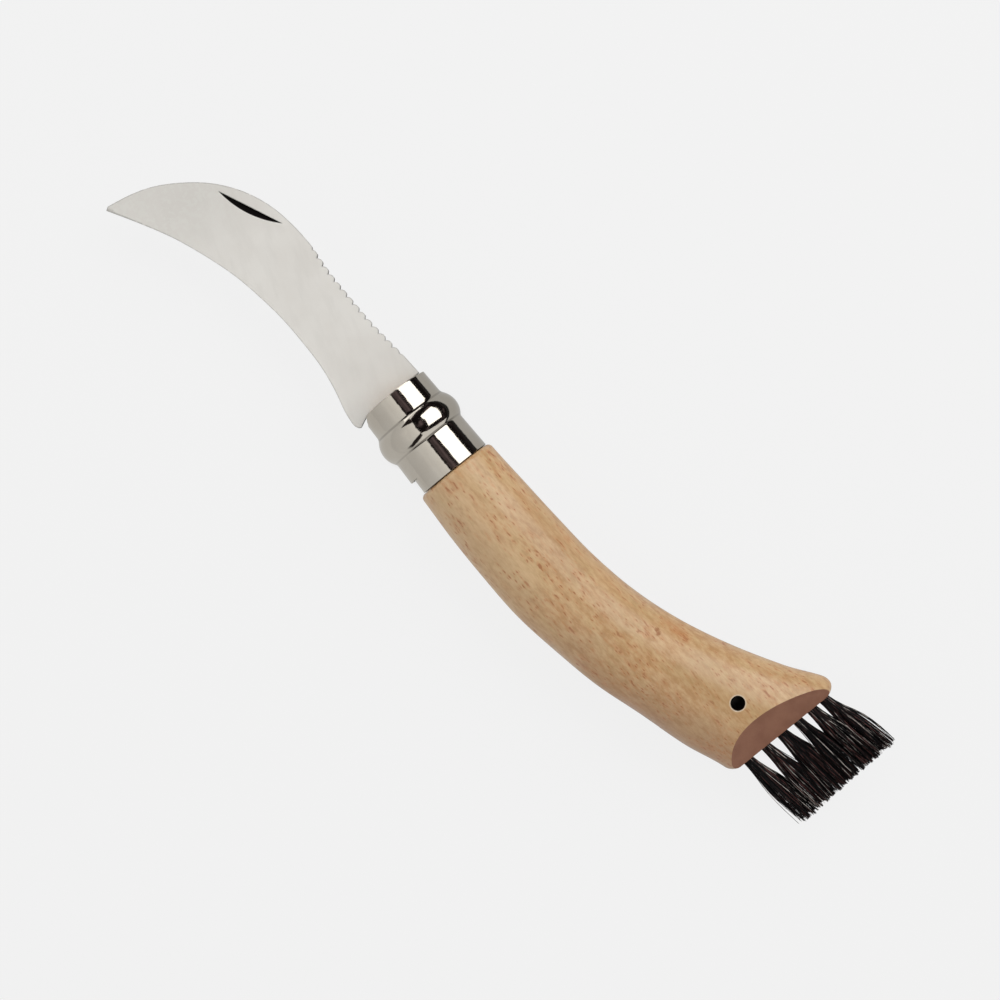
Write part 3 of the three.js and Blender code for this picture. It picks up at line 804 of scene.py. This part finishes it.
def end_block(side):
    """What the bevel takes off one side of the handle's rear end."""
    bpy.ops.mesh.primitive_cube_add(size=1, location=(0, 0, 0))
    block = bpy.context.object
    tall = 2 * HANDLE_THICKNESS
    size = Vector((tall, HANDLE_LENGTH, tall)) * MM
    up = Matrix.Translation((0, 0, side * HANDLE_THICKNESS * MM))
    turn = Matrix.Rotation(-side * BEVEL_ANGLE, 4, "Y")
    put = Matrix.Translation(place(-HANDLE_END, LANYARD[1], side * END_STRIP / 2))
    block.matrix_world = put @ turn @ up @ Matrix.Diagonal((*size, 1))
    settle(block)
    return block


def tuft_place(k):
    """How far a tuft lies to the edge side of the collar's axis."""
    return TUFT_FIRST - TUFT_SPAN * TUFT_SHARES[k]


def handle(sides, ends, drilled):
    """The wood: blank and neck joined, then the saw cut, the bevelled end and the holes taken out."""
    piece = handle_blank()
    rear = -SHOULDER - NECK_IN_HANDLE
    bpy.ops.mesh.primitive_cone_add(vertices=NECK_SIDES, radius1=NECK_REAR_RADIUS * MM,
                                    radius2=NECK_FRONT_RADIUS * MM, depth=(NECK_FRONT - rear) * MM,
                                    location=place((NECK_FRONT + rear) / 2, 0),
                                    rotation=(0, math.pi / 2, 0))
    neck = bpy.context.object
    settle(neck)
    combine(piece, neck, "UNION")
    combine(piece, prism(SLOT_OUTLINE, SLOT_WIDTH), "DIFFERENCE")
    combine(piece, end_block(1), "DIFFERENCE")
    combine(piece, end_block(-1), "DIFFERENCE")
    drill(piece, LANYARD_RADIUS, *LANYARD, LANYARD_SIDES)
    drill(piece, PIN_HOLE_RADIUS, 0, PIVOT_OFFSET, SMALL_HOLE_SIDES)
    for k in range(TUFT_COUNT):
        mouth = place(-HANDLE_END - OVERRUN, tuft_place(k))
        bottom = place(-HANDLE_END + TUFT_HOLE_DEPTH, tuft_place(k))
        combine(piece, rod(TUFT_HOLE_RADIUS, mouth, bottom, SMALL_HOLE_SIDES), "DIFFERENCE")
    smooth(piece, WOOD_CREASE)
    dress(piece, "handle_wood", "handle", "beech", (sides, ends, drilled), "handle_body")
    bevel = Vector((-math.sin(BEVEL_ANGLE), 0, math.cos(BEVEL_ANGLE)))
    for face in piece.data.polygons:
        x, y, z = face.normal
        from_bore = (face.center - place(*LANYARD)).xy.length
        if from_bore < (LANYARD_RADIUS + MARGIN) * MM and abs(z) < HANDLE_BORE_SLANT:
            face.material_index = HANDLE_BORE_FINISH
        elif Vector((x, y, abs(z))).dot(bevel) > HANDLE_END_SLANT or x < -HANDLE_END_SLANT:
            face.material_index = HANDLE_END_FINISH


# Collar

def cone_radius(x):
    share = (RING_FRONT - x) / (RING_FRONT + RING_REAR)
    return RING_FRONT_RADIUS + (RING_REAR_RADIUS - RING_FRONT_RADIUS) * share


def ring_radius(x):
    """The ring's outer radius: a cone with an arc for its bead and a hollow arc on either side."""
    reach, hollow = BEAD_FRONT if x > 0 else BEAD_REAR
    slope = 2 * math.atan(BEAD_HEIGHT / reach)
    arc = reach / math.sin(slope) - hollow
    from_foot = max(0, reach - abs(x))
    if from_foot < hollow * math.sin(slope):
        return cone_radius(x) + hollow - math.sqrt(hollow**2 - from_foot**2)
    return cone_radius(x) + BEAD_HEIGHT - arc + math.sqrt(arc**2 - x**2)


def ferrule_radius(x):
    """The ferrule's outer radius, which leaves the ring room to turn."""
    return cone_radius(x) - RING_WALL - FERRULE_GAP


def rolled_sheet(node, outside, wall, levels):
    """A finely divided copy of a rolled sheet, whose flat facets are moved out to its true curves."""
    piece = copied(node)
    edit(piece)
    bpy.ops.mesh.tris_convert_to_quads(face_threshold=QUAD_FACE_ANGLE, shape_threshold=QUAD_SHAPE_ANGLE)
    leave()
    modify(piece, "SUBSURF", subdivision_type="SIMPLE", levels=levels, render_levels=levels)
    for vertex in piece.data.vertices:
        x, y, z = (vertex.co - AXIS) / MM
        radius = math.hypot(y, z)
        for true in (outside(x), outside(x) - wall):
            if abs(radius - true) < FACET_DEPTH:
                vertex.co = place(x, y * true / radius, z * true / radius)
    smooth(piece, SHEET_CREASE)
    return piece


def collar(polished, cut):
    """The lock ring and the ferrule inside it, polished but for their cut ends."""
    ring = rolled_sheet("locking_ring", ring_radius, RING_WALL, RING_LEVELS)
    dress(ring, "lock_ring_polished", "ring", "collar_steel", (polished, cut), "locking_ring")
    ferrule = rolled_sheet("fixed_ferrule", ferrule_radius, FERRULE_WALL, FERRULE_LEVELS)
    dress(ferrule, "ferrule_polished", "handle", "collar_steel", (polished, cut), "fixed_ferrule")
    for piece in (ring, ferrule):
        for face in piece.data.polygons:
            if abs(face.normal.x) > SHEET_CUT_SLANT:
                face.material_index = SHEET_CUT_FINISH


# Blade

def blade(satin, nick, cut):
    """The blade, satin on its flats, with painted shade black in its nick and dark on its dull cut edges.
    """
    piece = copied("blade")
    smooth(piece, BLADE_CREASE)
    dress(piece, "blade_satin", "blade", "blade_steel", (satin, nick, cut), "blade")
    run = Vector((math.cos(NICK_ANGLE), math.sin(NICK_ANGLE), 0))
    least, most = BLADE_NICK_SLANTS
    for face in piece.data.polygons:
        away = (face.center - place(*NICK)) / MM
        near = abs(away.dot(run)) < NICK_REACH and abs(away.cross(run).z) < NICK_HALF_WIDTH
        if near and away.z > 0 and least < face.normal.z < most:
            face.material_index = BLADE_NICK_FINISH
        elif abs(face.normal.z) < BLADE_CUT_SLANT:
            face.material_index = BLADE_CUT_FINISH


# Brush

def sunflower(i, count):
    """The place of one of many points spread evenly over a round of radius 1."""
    turn = i * math.pi * (3 - math.sqrt(5))
    reach = math.sqrt((i + 0.5) / count)
    return Vector((reach * math.cos(turn), reach * math.sin(turn)))


def strewn(chance, spreads):
    """A random step with its own spread across the tuft and through it."""
    return Vector([chance.gauss(0, spread) for spread in spreads])


def tuft(k, hairs):
    """One tuft of loose bristles, as a curve of many short splines made into a mesh."""
    chance = random.Random(BRUSH_SEED + k)
    line = bpy.data.curves.new("tuft", "CURVE")
    line.dimensions = "3D"
    line.bevel_depth = BRISTLE_RADIUS * MM
    line.bevel_resolution = 0
    line.use_fill_caps = True
    for hair in hairs:
        line.materials.append(hair.material)
    clumps = []
    for i in range(CLUMPS):
        shift = strewn(chance, CLUMP_SHIFT)
        bow = strewn(chance, CLUMP_BOW)
        wave = (chance.gauss(0, CLUMP_SWING), chance.uniform(0, CLUMP_PHASE), chance.uniform(*CLUMP_RATE))
        clumps.append((sunflower(i, CLUMPS), shift, bow, wave, chance.uniform(0, CLUMP_SHORTER)))
    down = k / (TUFT_COUNT - 1)
    full = BRUSH_LENGTH - BRUSH_SHORTENING * down
    root_y = tuft_place(k)
    lean = BRUSH_TIP_FIRST - BRUSH_TIP_SPAN * down - root_y
    for i in range(BRISTLES):
        side = sunflower(i, BRISTLES)
        nearest = min(clumps, key=lambda clump: (clump[0] - side).length)
        centre, shift, bow, (swing, phase, rate), short = nearest
        end = side.lerp(centre, chance.uniform(*PULL_TO_CLUMP)) + shift
        length = full - short - abs(chance.gauss(0, LENGTH_SPREAD))
        loose = chance.gauss(0, LOOSE_SPREAD) if chance.random() < LOOSE_SHARE else 0
        loose = STRAYS.get((k, i), loose)
        bow = bow + strewn(chance, (BRISTLE_BOW, BRISTLE_BOW))
        spline = line.splines.new("POLY")
        spline.points.add(BRISTLE_POINTS - 1)
        spline.material_index = chance.choices(range(len(hairs)), COLOUR_SHARES)[0]
        for n, point in enumerate(spline.points):
            s = n / (BRISTLE_POINTS - 1)
            flare = drawn(BRUSH_FLARE_SHARES, s)
            curve = math.sin(math.pi * s)
            y = root_y + (lean + loose) * s + bow.x * curve + swing * s * math.sin(rate * s + phase)
            y += side.x * TUFT_ROOT[0] * (1 - flare) + end.x * TUFT_TIP[0] * flare
            z = bow.y * curve + swing * s * math.cos(rate * s + phase)
            z += side.y * TUFT_ROOT[1] * (1 - flare) + end.y * TUFT_TIP[1] * flare
            x = BRISTLE_ROOT - HANDLE_END - (length + BRISTLE_ROOT) * s
            point.co = (*place(x, max(y, BRUSH_LOW), z), 1)
            point.radius = 1 - BRISTLE_TAPER * s**3
    piece = meshed(line)
    face_outwards(piece)
    smooth(piece, HAIR_CREASE)
    return dress(piece, f"brush_tuft_{k + 1}", "handle", "bristle", None)


# Making the knife

satin, _ = blade_steel("satin_blade_steel")
cut = cut_steel()
hairs = (
    bristle_hair("black_bristle", *HAIR_BLACK),
    bristle_hair("brown_bristle", *HAIR_BROWN),
    bristle_hair("grey_bristle", *HAIR_GREY),
)

handle(beech(), end_grain(), bore_shade())
collar(polished_steel(), cut)
blade(satin, nick_steel(), cut)
for k in range(TUFT_COUNT):
    made = tuft(k, hairs)
    if k == 0:
        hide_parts("brush_bristles")
    paint_with(frame["nodes"][f"tuft_anchor_{k + 1}"], satin)
paint_with(frame["nodes"]["pivot_pin"], satin)


# Stage: floor, lamps, reflecting cards, camera; lamps and cards in metres and watts

PALE = 0.879
PALE_FLOOR = 0.891
FLOOR_MATTE = 0.84
FLOOR_IN_METAL = 0.52
FLOOR_IN_METAL_EDGE_SIDE = 0.66
FLOOR_IN_METAL_SPINE_SIDE = 0.02
FLOOR_OWN_LIGHT = 0.94
FLOOR_SPAN = 8
FLOOR_DROP = 0.05
CONTACT_REACH = 5
HOLE_SHADOW_CORE = (2.5, 1.9)
HOLE_SHADE = (12, 1.5)
HOLE_SHADE_DEPTH = 0.85
HOLE_SHADOW_GREY = 0.005
WORLD_LIGHT = 0.46


def stage_shader(name):
    material = bpy.data.materials.new(name)
    material.use_nodes = True
    material.node_tree.nodes.clear()
    return material, Paint(material.node_tree)


def glow(paint, colour):
    return paint.node("ShaderNodeEmission", None, {"Color": colour})


def blend_shaders(paint, share, one, other):
    return paint.node("ShaderNodeMixShader", None, {0: share, 1: one, 2: other})


def floor():
    """The pale ground: even for the camera, darker in polished metal, with a painted shadow where it is
    seen through the hole.
    """
    bpy.ops.mesh.primitive_plane_add(size=FLOOR_SPAN, location=(0, 0, FLOOR - FLOOR_DROP * MM))
    piece = bpy.context.object
    piece.name = "floor"
    material, paint = stage_shader("pale_floor")
    matte = paint.node("ShaderNodeBsdfDiffuse", None, {"Color": grey(FLOOR_MATTE)})
    seen = paint.ray("Camera")
    glossy = paint.ray("Glossy")
    reach = {"Distance": CONTACT_REACH * MM}
    open_sky = paint.node("ShaderNodeAmbientOcclusion", {"samples": 8}, reach, "AO")
    y = paint.along("Y")
    in_metal = paint.mix(paint.smooth(y, 4, 16), grey(FLOOR_IN_METAL), grey(FLOOR_IN_METAL_EDGE_SIDE))
    in_metal = paint.mix(paint.smooth(y, -95, -120), in_metal, grey(FLOOR_IN_METAL_SPINE_SIDE))
    own_light = glow(paint, paint.mix(glossy, grey(PALE_FLOOR), in_metal))
    own_share = paint.larger(seen * open_sky * FLOOR_OWN_LIGHT, glossy)
    lit = blend_shaders(paint, own_share, matte, own_light)
    # Painted shadow: a dark spot on the floor where the camera looks through the drilled hole
    spread = 1 + (AXIS.z - FLOOR) / MM / CAMERA_HEIGHT
    seen_through = [over + (there - over) * spread for over, there in zip(CAMERA_OVER, LANYARD)]
    hole = paint.distance((*seen_through, 0), (1, 1, 0))
    shade = paint.smooth(hole, *HOLE_SHADE)
    painted_hole_shadow = seen * paint.larger(paint.smooth(hole, *HOLE_SHADOW_CORE), shade * shade * HOLE_SHADE_DEPTH)
    surface = blend_shaders(paint, painted_hole_shadow, lit, glow(paint, grey(HOLE_SHADOW_GREY)))
    paint.node("ShaderNodeOutputMaterial", None, {"Surface": surface})
    piece.data.materials.append(material)


def world():
    """Soft light all round, and a pale backdrop for what is seen, mirrored or seen through."""
    made = bpy.data.worlds.new("studio")
    bpy.context.scene.world = made
    made.use_nodes = True
    made.node_tree.nodes.clear()
    paint = Paint(made.node_tree)
    direct = paint.larger(paint.ray("Camera"), paint.ray("Transmission"))
    backdrop = paint.larger(direct, paint.ray("Glossy"))
    soft = paint.node("ShaderNodeBackground", None, {"Color": grey(WORLD_LIGHT)})
    pale = paint.node("ShaderNodeBackground", None, {"Color": grey(PALE)})
    paint.node("ShaderNodeOutputWorld", None, {"Surface": blend_shaders(paint, backdrop, soft, pale)})


def facing(spot, right, up, back):
    """The matrix that puts a thing at a spot, with its X to the right, its Y up and its Z back."""
    return Matrix.Translation(spot) @ Matrix((right, up, back)).transposed().to_4x4()


def aim(obj, tilt, ahead, distance):
    """Turns a lamp or card to the collar's axis, from degrees off straight up and metres ahead."""
    across = math.radians(tilt)
    away = Vector((0, -math.sin(across), math.cos(across)))
    right = Vector((1, 0, 0))
    obj.matrix_world = facing(AXIS + away * distance + right * ahead, right, away.cross(right), away)


def lamp(name, tilt, ahead, distance, size, power):
    """A soft rectangular lamp that the camera doesn't see."""
    light = bpy.data.lights.new(name, "AREA")
    light.shape = "RECTANGLE"
    light.size, light.size_y = size
    light.energy = power
    obj = linked(name, light)
    aim(obj, tilt, ahead, distance)
    obj.visible_camera = False
    return obj


def end_wedges(paint, ahead, up):
    """Slanting dark ends of a card, from metres ahead of its middle and its height as a share."""
    front = paint.smooth(ahead, 0.8, 0.88) * paint.smooth(ahead + 4 * up, 2.8, 2.65)
    rear = paint.smooth(ahead + 0.2 * up, -0.5, -0.58) * paint.smooth(ahead, -1.13, -1.05)
    return front + rear * paint.smooth(up, 0.72, 0.55)


def card(name, tilt, ahead, distance, size, clouding, stops, wedges=False):
    """A card that only shows in polished metal: its stops go up it, and clouds vary its brightness."""
    bpy.ops.mesh.primitive_plane_add(size=1)
    piece = bpy.context.object
    piece.name = name
    piece.scale = (*size, 1)
    pick(piece)
    bpy.ops.object.transform_apply(location=False, rotation=False, scale=True)
    aim(piece, tilt, ahead, distance)
    material, paint = stage_shader(name)
    flat = paint.node("ShaderNodeTexCoord", output="UV")
    up = paint.node("ShaderNodeSeparateXYZ", None, {0: flat}, "Y")
    ramp = paint.node("ShaderNodeValToRGB", {"stops": stops}, {0: up})
    clouds = paint.smooth(paint.noise(flat, scale=4, detail=2), 0.48, 0.8)
    dim, bright = clouding
    colour = paint.mix(1.0, ramp, paint.mix(clouds, grey(dim), grey(bright)), "MULTIPLY")
    if wedges:
        metres = (paint.node("ShaderNodeSeparateXYZ", None, {0: flat}, "X") - 0.5) * size[0]
        colour = paint.mix(end_wedges(paint, metres, up), colour, WEDGE_DARK)
    paint.node("ShaderNodeOutputMaterial", None, {"Surface": glow(paint, colour)})
    piece.data.materials.append(material)
    for ray in ("camera", "diffuse", "transmission", "volume_scatter", "shadow"):
        setattr(piece, "visible_" + ray, False)


floor()
world()
lamp("softbox", tilt=47, ahead=0.12, distance=0.7, size=(0.91, 0.594), power=3.75)
fill = lamp("fill", tilt=-48, ahead=0.5, distance=0.9, size=(0.8, 0.8), power=2.3)
fill.visible_glossy = False
card("dark_card", tilt=45.5, ahead=0.56, distance=0.8, size=(2.7, 1.94), clouding=(0.2, 4.5),
     stops=[(0, CARD_DARK), (1, CARD_DARK)])
card("grey_card", tilt=-51, ahead=0, distance=0.75, size=(4.2, 1.55), clouding=(0.95, 1.05),
     stops=[(0.05, grey(1)), (0.32, grey(0.82)), (0.54, grey(0.7)), (0.8, grey(0.64)), (1, grey(0.62))],
     wedges=True)
card("bright_sliver", tilt=15, ahead=2.5, distance=0.5, size=(1.9, 1.6), clouding=(1.6, 1.8),
     stops=[(0, grey(1)), (1, grey(1))])

camera = linked("camera", bpy.data.cameras.new("camera"))
camera.data.sensor_width = SENSOR_WIDTH
camera.data.lens = SENSOR_WIDTH * CAMERA_HEIGHT / VIEW_WIDTH
camera.data.clip_start = NEAR_CLIP * MM
back = Vector((0, 0, 1))
camera.matrix_world = facing(place(*CAMERA_OVER, CAMERA_HEIGHT), IMAGE_RIGHT, back.cross(IMAGE_RIGHT), back)
bpy.context.scene.camera = camera
bpy.context.scene.view_settings.view_transform = "Standard"
